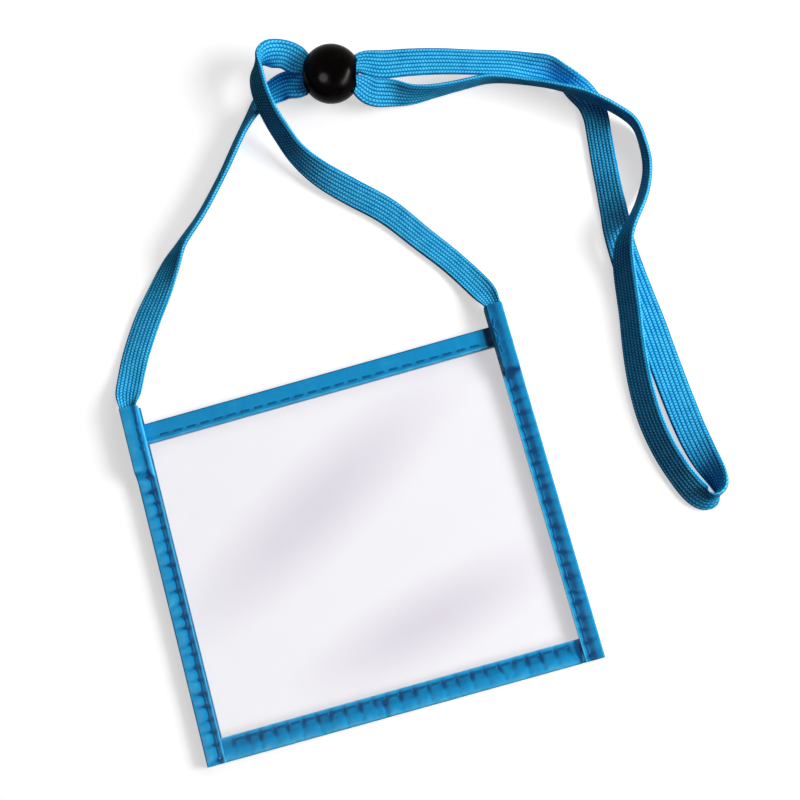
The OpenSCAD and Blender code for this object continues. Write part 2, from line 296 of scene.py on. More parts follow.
class Graph:
    """Adds nodes to one node tree and joins them."""

    def __init__(self, tree: NodeTree) -> None:
        """Takes the tree to work in."""
        self.tree = tree

    @classmethod
    def of(cls, owner: Material | bpy.types.World) -> "Graph":
        """Empties the nodes of a material or the world, and works in them."""
        owner.use_nodes = True
        owner.node_tree.nodes.clear()
        return cls(owner.node_tree)

    def feed(self, socket: Socket, value: object) -> None:
        """Joins a socket to another, or sets its constant.

        Args:
            socket: the input.
            value: the other socket, or the constant.
        """
        if isinstance(value, Socket):
            self.tree.links.new(value, socket)
        else:
            socket.default_value = value

    def add(self, kind: str, inputs: dict | None = None, **settings: object) -> Node:
        """Adds a node.

        Args:
            kind: the node's type.
            inputs: what its inputs get, by name or number.
            settings: its other settings.

        Returns:
            The node.
        """
        node = self.tree.nodes.new(kind)
        for key, value in settings.items():
            setattr(node, key, value)
        for key, value in (inputs or {}).items():
            self.feed(node.inputs[key], value)
        return node

    def math(self, operation: str, *values: object) -> Socket:
        """One step of arithmetic on numbers."""
        return self.add("ShaderNodeMath", dict(enumerate(values)), operation=operation).outputs[0]

    def step(self, value: Socket, low: float, high: float) -> Socket:
        """A smooth step from 0 at low to 1 at high."""
        inputs = {0: value, 1: low, 2: high}
        return self.add("ShaderNodeMapRange", inputs, interpolation_type="SMOOTHSTEP").outputs[0]

    def mix(self, share: object, first: object, second: object) -> Socket:
        """A colour between two, by share."""
        return self.add("ShaderNodeMix", {0: share, 6: first, 7: second}, data_type="RGBA").outputs[2]

    def noise(self, place: Socket, scale: float, detail: float) -> Socket:
        """Cloudy noise from 0 to 1 over a place."""
        return self.add("ShaderNodeTexNoise", {"Vector": place, "Scale": scale, "Detail": detail}).outputs[0]

    def ripple(self, value: object, sharpness: float) -> Socket:
        """A row of humps from 0 to 1, one for each whole number: |sin(pi value)| to a power."""
        wave = self.math("ABSOLUTE", self.math("SINE", self.math("MULTIPLY", value, math.pi)))
        return self.math("POWER", wave, sharpness)

    def seen(self) -> Socket:
        """1 for what the eye sees, also by way of gloss or glass, and 0 for scattered light."""
        rays = self.add("ShaderNodeLightPath").outputs
        straight = self.math("MAXIMUM", rays["Is Camera Ray"], rays["Is Glossy Ray"])
        return self.math("MAXIMUM", straight, rays["Is Transmission Ray"])

    def close(self, out: Node, **values: Socket) -> NodeTree:
        """Feeds a group's outputs by name, and gives the finished group."""
        for key, value in values.items():
            self.feed(out.inputs[key], value)
        return self.tree


def group_of(name: str, inputs: dict[str, object], *outputs: str) -> tuple[Graph, dict, Node]:
    """Starts a shader node group with named inputs and outputs.

    Args:
        name: the group's name.
        inputs: a starting value for each input; four numbers make a colour, three a vector, one a number.
        outputs: the name of each output. Color is a colour, and the others are numbers.

    Returns:
        The graph to work in, its inputs by name and its output node.
    """
    tree = bpy.data.node_groups.new(name, "ShaderNodeTree")
    kinds = {1: "NodeSocketFloat", 3: "NodeSocketVector", 4: "NodeSocketColor"}
    for key, value in inputs.items():
        kind = kinds[len(value) if isinstance(value, tuple) else 1]
        tree.interface.new_socket(key, in_out="INPUT", socket_type=kind).default_value = value
    for key in outputs:
        tree.interface.new_socket(key, in_out="OUTPUT", socket_type=kinds[4 if key == "Color" else 1])
    graph = Graph(tree)
    return graph, graph.add("NodeGroupInput").outputs, graph.add("NodeGroupOutput")


def braid_group() -> NodeTree:
    """The braid's rows of short slanted yarns.

    Formula: a row is one whole number of the UV map's v. Along it the yarns repeat every pitch, each
    row half a pitch on from the last, and lean one way in even rows and the other way in odd ones.
    The colour is painted shade in the low grooves and a painted highlight on the high crowns.

    Returns:
        The group.
    """
    graph, given, out = group_of(
        "braid_yarns",
        {"Surface": NOWHERE, "Pitch": 0.9, "Lean": 0.5, "GrooveShade": colour(0, 66, 122),
         "Yarn": colour(10, 150, 216), "CrownHighlight": colour(95, 215, 255)},
        "Color", "Height",
    )
    place = graph.add("ShaderNodeSeparateXYZ", {0: given["Surface"]}).outputs
    share = graph.math("FRACT", place[1])
    odd = graph.math("FLOORED_MODULO", graph.math("FLOOR", place[1]), 2.0)
    way = graph.math("MULTIPLY_ADD", odd, 2.0, -1.0)
    lean = graph.math("MULTIPLY", graph.math("SUBTRACT", share, 0.5), way)
    lean = graph.math("MULTIPLY", lean, given["Lean"])
    along = graph.math("ADD", graph.math("DIVIDE", place[0], given["Pitch"]), lean)
    yarn = graph.ripple(graph.math("MULTIPLY_ADD", odd, 0.5, along), 0.8)
    row = graph.ripple(share, 0.45)
    height = graph.math("MULTIPLY", row, graph.math("MULTIPLY_ADD", yarn, 0.55, 0.45))
    noise = graph.noise(given["Surface"], 0.35, 2.0)
    uneven = graph.math("MULTIPLY_ADD", noise, 0.3, graph.math("ADD", height, -0.15))
    # painted shade in the grooves, the yarn's own colour between, and a painted highlight on the crowns
    base = graph.mix(graph.step(uneven, 0.1, 0.55), given["GrooveShade"], given["Yarn"])
    lit = graph.mix(graph.step(uneven, 0.6, 1.0), base, given["CrownHighlight"])
    return graph.close(out, Color=lit, Height=height)


def tape_group() -> NodeTree:
    """Coated tape: its plain weave under the coating, soft mottling, and painted shade and light.

    Formula: painted shading below 0 mixes the cloth towards its painted shadow colour and above 0
    towards its painted highlight colour. The weave is the product of two waves, across and along the tape.

    Returns:
        The group.
    """
    graph, given, out = group_of(
        "coated_tape",
        {"Surface": NOWHERE, "PaintedShading": 0.0, "Thread": 0.32, "Shadow": colour(8, 72, 122),
         "Cloth": colour(20, 148, 208), "Light": colour(80, 200, 248)},
        "Color", "Height", "Roughness",
    )
    place = graph.add("ShaderNodeSeparateXYZ", {0: given["Surface"]}).outputs
    wave = [graph.ripple(graph.math("DIVIDE", place[axis], given["Thread"]), 1.0) for axis in (0, 1)]
    soft, fine = graph.noise(given["Surface"], 0.45, 3.0), graph.noise(given["Surface"], 2.6, 2.0)
    uneven = graph.math("MULTIPLY_ADD", graph.math("ADD", soft, -0.5), 0.5, given["PaintedShading"])
    uneven = graph.math("MULTIPLY_ADD", graph.math("ADD", fine, -0.5), 0.22, uneven)
    # painted shade towards the Shadow colour, painted light towards the Light colour
    shade = graph.step(graph.math("MULTIPLY", uneven, -1.0), 0.0, 1.0)
    darker = graph.mix(shade, given["Cloth"], given["Shadow"])
    return graph.close(
        out,
        Color=graph.mix(graph.step(uneven, 0.0, 1.0), darker, given["Light"]),
        Height=graph.math("MULTIPLY_ADD", graph.math("MULTIPLY", *wave), 0.4, fine),
        Roughness=graph.math("MULTIPLY_ADD", soft, 0.2, 0.36),
    )


def thread_group() -> NodeTree:
    """Twisted sewing thread: slanted plies round the stitch.

    Formula: the plies repeat every pitch along the stitch and climb once round it in that length. The colour
    is painted shade in the grooves between the plies.

    Returns:
        The group.
    """
    graph, given, out = group_of(
        "twisted_thread",
        {"Surface": NOWHERE, "Pitch": 0.5, "GrooveShade": colour(0, 70, 118), "Ply": colour(0, 112, 168)},
        "Color", "Height",
    )
    place = graph.add("ShaderNodeSeparateXYZ", {0: given["Surface"]}).outputs
    ply = graph.ripple(graph.math("ADD", graph.math("DIVIDE", place[0], given["Pitch"]), place[1]), 0.7)
    # painted shade between the plies
    return graph.close(out, Color=graph.mix(ply, given["GrooveShade"], given["Ply"]), Height=ply)


def handling_group() -> NodeTree:
    """The bead's handling marks: faint cloudy smears and fine specks in its polish.

    Returns:
        The group.
    """
    graph, given, out = group_of(
        "handling_marks",
        {"Place": NOWHERE, "Polish": 0.2, "Deep": colour(2, 0, 0), "Warm": colour(6, 2, 2)},
        "Color", "Roughness", "Height",
    )
    cloud, speck = graph.noise(given["Place"], 260.0, 3.0), graph.noise(given["Place"], 2600.0, 1.0)
    smear = graph.step(cloud, 0.42, 0.72)
    return graph.close(
        out,
        Color=graph.mix(smear, given["Deep"], given["Warm"]),
        Roughness=graph.math("MULTIPLY_ADD", smear, 0.1, given["Polish"]),
        Height=speck,
    )


def reflection_band_group() -> NodeTree:
    """The film's two soft slanting bands of painted reflection: grey bands painted into its tint.

    Formula: each band is a smooth hump across a line on the film, with a long gentle fade along it.

    Returns:
        The group.
    """
    graph, given, out = group_of(
        "film_painted_reflection",
        {"Place": NOWHERE, "Clear": colour(244, 244, 246), "PaintedReflection": colour(233.5, 231.5, 237)},
        "Color",
    )
    total: object = 0.0
    for x, y, turn, half_width, half_length in (
        (-0.0093, 0.0094, 29.0, 0.0165, 0.066),
        (0.0124, -0.0278, 13.0, 0.0138, 0.047),
    ):
        mapped = graph.add(
            "ShaderNodeMapping",
            {"Vector": given["Place"], "Location": (x, y, 0.0), "Rotation": (0.0, 0.0, math.radians(turn)),
             "Scale": (half_length, half_width, 1.0)},
            vector_type="TEXTURE",
        ).outputs[0]
        flat = graph.add("ShaderNodeVectorMath", {0: mapped, 1: (1.0, 1.0, 0.0)}, operation="MULTIPLY")
        away = graph.add("ShaderNodeVectorMath", {0: flat.outputs[0]}, operation="LENGTH").outputs["Value"]
        total = graph.math("ADD", total, graph.math("SUBTRACT", 1.0, graph.step(away, 0.0, 1.0)))
    # painted reflection: grey bands mixed into the film's tint
    return graph.close(out, Color=graph.mix(total, given["Clear"], given["PaintedReflection"]))


def start_material(name: str, shader: dict[str, object]) -> tuple[Material, Graph, Node, Node]:
    """Starts a material with a Principled shader whose constants are set on its own sockets.

    Args:
        name: the material's name.
        shader: the constants, by socket.

    Returns:
        The material, its graph, its Principled node and its output node.
    """
    material = bpy.data.materials.new(name)
    graph = Graph.of(material)
    principled = graph.add("ShaderNodeBsdfPrincipled", shader)
    out = graph.add("ShaderNodeOutputMaterial", {"Surface": principled.outputs[0]})
    return material, graph, principled, out


class Place(Enum):
    """What a pattern follows: the group's input, and the coordinates that feed it."""

    SURFACE = ("Surface", "UV")
    SOLID = ("Place", "Object")


@dataclass(frozen=True)
class PatternFinish:
    """A finish whose colour, bump and, where it has one, roughness come from one node group."""

    name: str
    group: NodeTree
    shader: dict
    bump: float
    depth: float
    place: Place = Place.SURFACE
    values: dict = field(default_factory=dict)

    def material(self) -> Material:
        """Builds the material.

        Returns:
            A Principled material fed by the group, which reads the UV map or Object coordinates.
        """
        material, graph, principled, _ = start_material(self.name, self.shader)
        pattern = graph.add("ShaderNodeGroup", node_tree=self.group)
        key, source = self.place.value
        graph.feed(pattern.inputs[key], graph.add("ShaderNodeTexCoord").outputs[source])
        for key, value in self.values.items():
            graph.feed(pattern.inputs[key], value)
        # painted shade and light, read from the vertex attribute into the colour
        if "PaintedShading" in pattern.inputs:
            painted_shading = graph.add("ShaderNodeAttribute", attribute_name="painted_shading").outputs["Fac"]
            graph.feed(pattern.inputs["PaintedShading"], painted_shading)
        graph.feed(principled.inputs["Base Color"], pattern.outputs["Color"])
        if "Roughness" in pattern.outputs:
            graph.feed(principled.inputs["Roughness"], pattern.outputs["Roughness"])
        inputs = {"Strength": self.bump, "Distance": self.depth, "Height": pattern.outputs["Height"]}
        graph.feed(principled.inputs["Normal"], graph.add("ShaderNodeBump", inputs).outputs[0])
        return material


@dataclass(frozen=True)
class ClearFilm:
    """Clear vinyl: glossy film that tints what is behind it only in its bands of painted reflection."""

    roughness: float = 0.06
    ior: float = 1.4

    def material(self) -> Material:
        """Builds the film, which lets shadow and scattered light through untouched.

        Returns:
            The material.
        """
        shader = {"Roughness": self.roughness, "IOR": self.ior, "Transmission Weight": 1.0, "Metallic": 0.0}
        material, graph, principled, out = start_material("clear_vinyl_film", shader)
        painted_reflection = graph.add("ShaderNodeGroup", node_tree=reflection_band_group())
        graph.feed(painted_reflection.inputs["Place"], graph.add("ShaderNodeTexCoord").outputs["Object"])
        graph.feed(principled.inputs["Base Color"], painted_reflection.outputs["Color"])
        rays = graph.add("ShaderNodeLightPath").outputs
        passing = graph.math("MAXIMUM", rays["Is Shadow Ray"], rays["Is Diffuse Ray"])
        clear = graph.add("ShaderNodeBsdfTransparent").outputs[0]
        mixed = graph.add("ShaderNodeMixShader", {0: passing, 1: principled.outputs[0], 2: clear})
        graph.feed(out.inputs["Surface"], mixed.outputs[0])
        return material


# ---------------------------------------------------------------- slider bead


@dataclass
class SliderBead:
    """The drilled ball that both strands run through."""

    middle: tuple[float, float, float] = (0.0262, 0.124, 0.00825)
    along: tuple[float, float, float] = (0.961261695938319, -0.275637355816999, 0.0)
    radius: float = 0.00825
    half_length: float = 0.0073
    bore: float = 0.0034
    lip: float = 0.0005
    around: int = 128
    ball_points: int = 72
    lip_points: int = 9
    bore_points: int = 14
    surface_scale: tuple[float, float] = (8.0, 0.3)

    def axes(self) -> tuple[Array, Array]:
        """The bore's direction and the level direction square to it."""
        along = np.array(self.along)
        return along, np.array([-along[1], along[0], 0.0])

    def profile(self) -> Array:
        """Half of the bead's section, from one bore lip over the ball to the other and back down the bore.

        Formula: the ball's arc between its two flat ends, then a quarter circle of the lip's radius
        into the bore, the straight bore, and the same lip again.

        Returns:
            Rows of (distance along the bore, distance from it).
        """
        rim = math.sqrt(self.radius**2 - self.half_length**2)
        start = math.atan2(rim, self.half_length)
        arc = np.linspace(start, math.pi - start, self.ball_points)
        ball = np.stack([self.radius * np.cos(arc), self.radius * np.sin(arc)], 1)
        turn = np.linspace(0, math.pi / 2, self.lip_points)
        inner = self.half_length - self.lip
        near = np.stack([-inner - self.lip * np.cos(turn), self.bore + self.lip * (1 - np.sin(turn))], 1)
        hole = np.linspace(-inner, inner, self.bore_points)[1:-1]
        hole = np.stack([hole, np.full_like(hole, self.bore)], 1)
        far = near[::-1] * [-1, 1]
        return np.concatenate([ball, near, hole, far])

    def build(self, finish: Material) -> Object:
        """Turns the section round the bore into the bead.

        Args:
            finish: the bead's material.

        Returns:
            The bead.
        """
        section = self.profile()
        turn = np.linspace(0, 2 * math.pi, self.around, endpoint=False)[:, None]
        along, side = self.axes()
        spoke = np.cos(turn)[..., None] * side + np.sin(turn)[..., None] * UP
        points = np.array(self.middle) + section[None, :, :1] * along + section[None, :, 1:] * spoke
        rows, columns = points.shape[:2]
        numbers = grid_quads(rows + 1, columns, wrap=True) % (rows * columns)
        surface = np.stack(np.broadcast_arrays(turn, np.arange(columns)[None, :]), -1) * self.surface_scale
        piece = make_piece("slider_ball", points.reshape(-1, 3), [numbers], surface.reshape(-1, 2))
        dress(piece, finish, "bead", "bead", "slider_bead")
        return piece


# ---------------------------------------------------------------- neck strap


@dataclass
class NeckStrap:
    """The one flat tubular braid, from the left binding round through the bead to the right binding."""

    width: float = 0.008
    thickness: float = 0.0013
    rows_round: int = 16
    points_a_row: int = 5
    face_row: float = 3.5
    rib: float = 0.00006
    rib_power: float = 0.7
    rib_drop: float = 0.65
    step: float = 0.00059
    blur: float = 0.0011
    floor_gap: float = 0.00004
    lift_reach: int = 12
    bore_gap: float = 0.0001
    bore_reach: float = 0.0006
    ball_gap: float = 0.0002
    tail: tuple[float, float, float] = (0.0514, 0.03175, 0.004082)
    tail_wide: float = 0.0038
    # x, y and z in millimetres, lean in degrees, and, where they aren't the braid's own width and 0, the
    # width in millimetres and the cup: above 0 it turns the margins to the face's up side, below 0 down
    left_leg: tuple = (
        (-51.4, 49.25, 4.08, 0, 4.4, 2), (-50.9, 52.5, 3.2, 0, 7, 2.5), (-49.3, 57, 1.9, -4, 7.4, 3.5),
        (-46.7, 63, 1.3, -7, 7.6, -2), (-41.1, 72, 1.5, -12, 7.8, -8), (-35.6, 79, 2.1, -22, 7.8, -8),
        (-30.2, 85.7, 3, -42), (-26, 90.3, 3.7, -62), (-19.2, 96.3, 3.9, -66), (-10.3, 106.2, 3.9, -67),
        (-2.4, 116.1, 3.9, -66), (2, 120.8, 3.7, -58), (5.8, 124.1, 3.4, -38),
        (10.2, 125.4, 4.4, -10, 8.2), (13.8, 125.3, 6, -2, 8.6),
    )
    neck_loop: tuple = (
        (35.9, 116.2, 6.4, 30, 7.8), (40.5, 115.3, 4.8, 42, 8.2), (46.1, 113.3, 4.3, 68),
        (52.9, 112.5, 4.1, 88), (60.5, 112.1, 4.1, 95), (68.2, 111.6, 4.1, 98), (78.5, 107.4, 4.5, 103),
        (85.4, 103.4, 5.8, 102), (92.5, 98.2, 6.4, 92), (98.8, 92.4, 6.1, 94), (102.6, 87.6, 5, 92),
        (103.3, 81.5, 4.2, 88), (102.4, 74.5, 4.2, 82), (98.5, 66.6, 5.2, 75), (94.8, 61.8, 7, 74),
        (91.8, 58.3, 7.5, 68), (89.7, 54.6, 6.4, 56), (88.5, 50.6, 5.1, 50), (87.6, 45.2, 4, 48),
        (86.4, 37.2, 3.5, 48), (84.8, 28.5, 3.4, 46), (83.5, 18.5, 3.2, 43), (83.2, 8.8, 3.1, 42),
        (84.2, 0, 3.2, 43), (86.3, -8, 3.2, 43), (88.4, -13.2, 3, 40), (89.7, -15.3, 3, 41),
        (91.1, -16.8, 3.2, 49), (93.1, -17.3, 3.8, 71), (94.6, -16.6, 4.1, 90), (95.7, -14.6, 3.9, 112),
        (95.4, -11.2, 3.3, 130), (94.2, -6.5, 2.6, 150), (92.9, 1.5, 1.7, 170, 8.2),
        (92, 12, 1.3, 178, 8.4), (91.4, 22.5, 1.2, 180, 8.4), (90.9, 33, 1.2, 180, 8.4),
        (90.3, 41.5, 1.2, 178, 8.2), (89.8, 50, 1.3, 174), (89.7, 56, 1.4, 168, 7.8),
        (89.9, 60.5, 1.4, 168, 7.8), (90.4, 65.7, 2.1, 152), (90.9, 71.5, 2.2, 152, 7.6),
        (91.9, 80.5, 1.9, 160, 7.2), (92.8, 87.9, 1.9, 158, 7.1), (93.5, 93.5, 1.6, 166, 7),
        (93, 98.2, 1.2, 170, 7), (90.9, 102.3, 2.2, 148, 7.6), (89, 105, 3.7, 122),
        (86.9, 107.4, 4.1, 124, 7.8), (84.3, 109.6, 4.4, 138, 8.2), (80, 111.5, 4.9, 152, 7.4),
        (74.5, 113.8, 5.5, 170, 7), (66.5, 116.2, 6.2, 172, 7), (55.5, 119.5, 7, 172, 7.4),
        (46.8, 121.5, 7.6, 174, 7.8), (40.7, 122.6, 7.9, 178, 8.2),
    )
    right_leg: tuple = (
        (17.9, 130.3, 8.6, 176, 8.4, 1), (16, 132.6, 8.7, 171), (13.4, 133.8, 9, 166),
        (10.8, 134.4, 9.3, 140), (8.3, 133.9, 9.6, 98), (6.7, 131.6, 9.7, 70), (6.1, 127.8, 10.4, 56),
        (6.1, 122.7, 11, 54), (7, 117.2, 9.8, 56), (8.6, 112, 7, 54), (11, 105.6, 5.3, 50, 7.8),
        (15.5, 98.9, 3.9, 38, 7.8), (22.3, 91.9, 2.4, 20, 7.6), (30.8, 83.5, 1.6, 9, 7.4),
        (37.7, 73.8, 1.2, 4, 7), (44.2, 64.6, 1.1, 0, 6.8), (48.8, 56.5, 2, 0, 6.8, 2),
        (50.6, 52.5, 3.2, 0, 6.4, 2.5), (51.4, 49.25, 4.08, 0, 4.4, 1),
    )
    # distance along the bore, distance to its side and width, in millimetres: the ways through the bead
    lower_strand: tuple = ((-7.9, -3.1, 7.4), (-4.6, -1.6, 2.9), (4.6, -1.6, 2.9), (7.9, -3.1, 6.6))
    upper_strand: tuple = ((7.9, 3.1, 6.6), (4.6, 1.6, 2.9), (-4.6, 1.6, 2.9), (-7.8, 3, 6.8))

    def filled(self, rows: tuple) -> Array:
        """The rows in metres, with the braid's own width and no cup where a row leaves them out."""
        full = np.array([row + (self.width / MM, 0)[len(row) - 4 :] for row in rows], float)
        return full * [MM, MM, MM, 1, MM, 1]

    def through(self, bead: SliderBead, strand: tuple, lean: float, cup: float) -> Array:
        """Works out the control points of one strand inside the bead, at the bore's own level.

        Args:
            bead: the bead's sizes.
            strand: its rows, in millimetres.
            lean: the strand's lean, in degrees.
            cup: which way its margins turn.

        Returns:
            Rows like those of the legs.
        """
        along, side = bead.axes()
        rows = np.array(strand) * MM
        place = np.array(bead.middle) + rows[:, :1] * along + rows[:, 1:2] * side
        other = np.stack([np.full(len(rows), lean), rows[:, 2], np.full(len(rows), cup)], 1)
        return np.concatenate([place, other], 1)

    def route(self, bead: SliderBead) -> Array:
        """Joins the whole control line, from the hidden left tail's end to the hidden right tail's end.

        Args:
            bead: the bead's sizes.

        Returns:
            Rows of x, y, z, lean, width and cup.
        """
        x, y, z = self.tail
        near, far = (np.array([[side * x, y, z, 0, self.tail_wide, 2]]) for side in (-1, 1))
        lower = self.through(bead, self.lower_strand, 0, -1)
        upper = self.through(bead, self.upper_strand, 180, 1)
        left, loop, right = (self.filled(rows) for rows in (self.left_leg, self.neck_loop, self.right_leg))
        return np.concatenate([near, left, lower, loop, upper, right, far])

    def section(self, wide: Array, cup: Array) -> tuple[Array, Array, Array]:
        """The braid's outline on each ring.

        Formula: a flat bar with round rims, walked at an even pace in 16 rows. Each row stands out
        by a hump of |sin| to a power, and the whole bar is bent by a parabola whose depth makes up
        the width that the strap has lost.

        Args:
            wide: the strap's width at each ring.
            cup: which way its margins turn at each ring, and how many times as far.

        Returns:
            Distance across, distance out, and the row number, for each ring and point.
        """
        row = np.arange(self.rows_round * self.points_a_row) / self.points_a_row
        half = self.rows_round / 2
        turn = (row - self.face_row + half) % self.rows_round - half
        radius, flat = self.thickness / 2, (wide[:, None] - self.thickness) / 2
        around = 4 * flat + 2 * math.pi * radius
        walked = np.abs(turn) / self.rows_round * around
        angle = np.clip((walked - flat) / radius, 0, math.pi)
        top, bottom = walked < flat, walked > flat + math.pi * radius
        across = np.where(top, walked, np.where(bottom, around / 2 - walked, flat + radius * np.sin(angle)))
        hump = self.rib * (np.abs(np.sin(math.pi * row)) ** self.rib_power - self.rib_drop)
        out = np.cos(angle) * (radius + hump)
        across = (across + np.sin(angle) * hump) * np.sign(turn)
        depth = (self.width * self.thickness / wide - self.thickness)[:, None] * cup[:, None]
        out = out + depth * ((2 * across / wide[:, None]) ** 2 - 0.5)
        return across, out, row

    def build(self, bead: SliderBead, ball: Object, finish: Material) -> Object:
        """Sweeps the section along the route, and keeps it off the table and out of the bead's wall.

        Formula: each ring is the section, laid across the line and turned about it by the lean.

        Args:
            bead: the bead's sizes.
            ball: the bead's object; not used.
            finish: the braid's material.

        Returns:
            The strap.
        """
        line = run_through(self.route(bead), self.step, self.blur)
        across, out, row = self.section(line[:, 4], line[:, 5])
        ahead = unit(np.gradient(line[:, :3], axis=0))
        level = unit(np.cross(UP, ahead))
        lean = np.radians(line[:, 3:4])
        sideways = level * np.cos(lean) + np.cross(ahead, level) * np.sin(lean)
        face = np.cross(ahead, sideways)
        rings = line[:, None, :3] + across[..., None] * sideways[:, None] + out[..., None] * face[:, None]
        short = np.maximum(self.floor_gap - rings[..., 2].min(1), 0)
        window = np.ones(2 * self.lift_reach + 1)
        soft = np.convolve(np.pad(short, self.lift_reach, mode="edge"), window / len(window), "valid")
        lift = np.maximum(soft, short)
        rings[..., 2] += lift[:, None]
        line[:, 2] += lift
        rings = self.clear_of(bead, rings)
        count, points = rings.shape[:2]
        ends = np.stack([rings[0].mean(0), rings[-1].mean(0)])
        vertices = np.concatenate([rings.reshape(-1, 3), ends])
        quads = grid_quads(count, points, wrap=True)
        ring = np.arange(points)
        after, last = (ring + 1) % points, (count - 1) * points
        caps = np.concatenate([
            np.stack([after, ring, np.full(points, count * points)], 1)[:, ::-1],
            np.stack([ring + last, after + last, np.full(points, count * points + 1)], 1)[:, ::-1],
        ])
        walked = lengths_along(line[:, :3]) / MM
        surface = np.stack([np.repeat(walked, points), np.tile(row, count)], 1)
        surface = np.concatenate([surface, [[0, 0], [walked[-1], 0]]])
        piece = make_piece("neck_strap", vertices, [quads, caps], surface, sharp=75.0)
        self.close_seam(piece)
        dress(piece, finish, "strap_braid", "pouch", "left_leg", "neck_loop", "right_leg")
        LOG.info("neck_strap: %.1f mm long, lowest ring point %.3f mm", walked[-1], rings[..., 2].min() / MM)
        return piece

    def clear_of(self, bead: SliderBead, rings: Array) -> Array:
        """Moves strap points that would be in the bead's wall to its outside or into its bore.

        Args:
            bead: the bead's sizes.
            rings: the strap's points.

        Returns:
            The moved points.
        """
        along, side = bead.axes()
        away = rings - np.array(bead.middle)
        reach = np.linalg.norm(away, axis=-1, keepdims=True)
        on_axis = (away @ along)[..., None] * along
        spoke = away - on_axis
        off = np.linalg.norm(spoke, axis=-1, keepdims=True)
        bore, ball = bead.bore - self.bore_gap, bead.radius + self.ball_gap
        in_wall = (off > bore) & (reach < ball)
        near_bore = in_wall & (off < bead.bore + self.bore_reach)
        held = np.where(near_bore, on_axis + spoke * bore / np.maximum(off, TINY), away)
        pushed = away * ball / np.maximum(reach, TINY)
        return np.array(bead.middle) + np.where(in_wall & ~near_bore, pushed, held)

    def close_seam(self, piece: Object) -> None:
        """Carries the UV map's row number on from 15 to 16 across the braid's lengthwise seam.

        Args:
            piece: the strap.
        """
        layer = piece.data.uv_layers["surface"].data
        uv = np.zeros(len(layer) * 2, np.float32)
        layer.foreach_get("uv", uv)
        uv = uv.reshape(-1, 2)
        start, count = (np.zeros(len(piece.data.polygons), np.int32) for _ in range(2))
        piece.data.polygons.foreach_get("loop_start", start)
        piece.data.polygons.foreach_get("loop_total", count)
        owner = np.repeat(np.arange(len(start)), count)
        highest = np.zeros(len(start))
        np.maximum.at(highest, owner, uv[:, 1])
        wraps = (highest[owner] > self.rows_round - 0.9) & (uv[:, 1] < 1)
        uv[wraps, 1] += self.rows_round
        layer.foreach_set("uv", uv.ravel())


# ---------------------------------------------------------------- tapes


class Edge(Enum):
    """The pouch's edge that a tape binds, as the way from its inner lip to its fold."""

    LEFT = (-1, 0)
    RIGHT = (1, 0)
    TOP = (0, 1)
    BOTTOM = (0, -1)


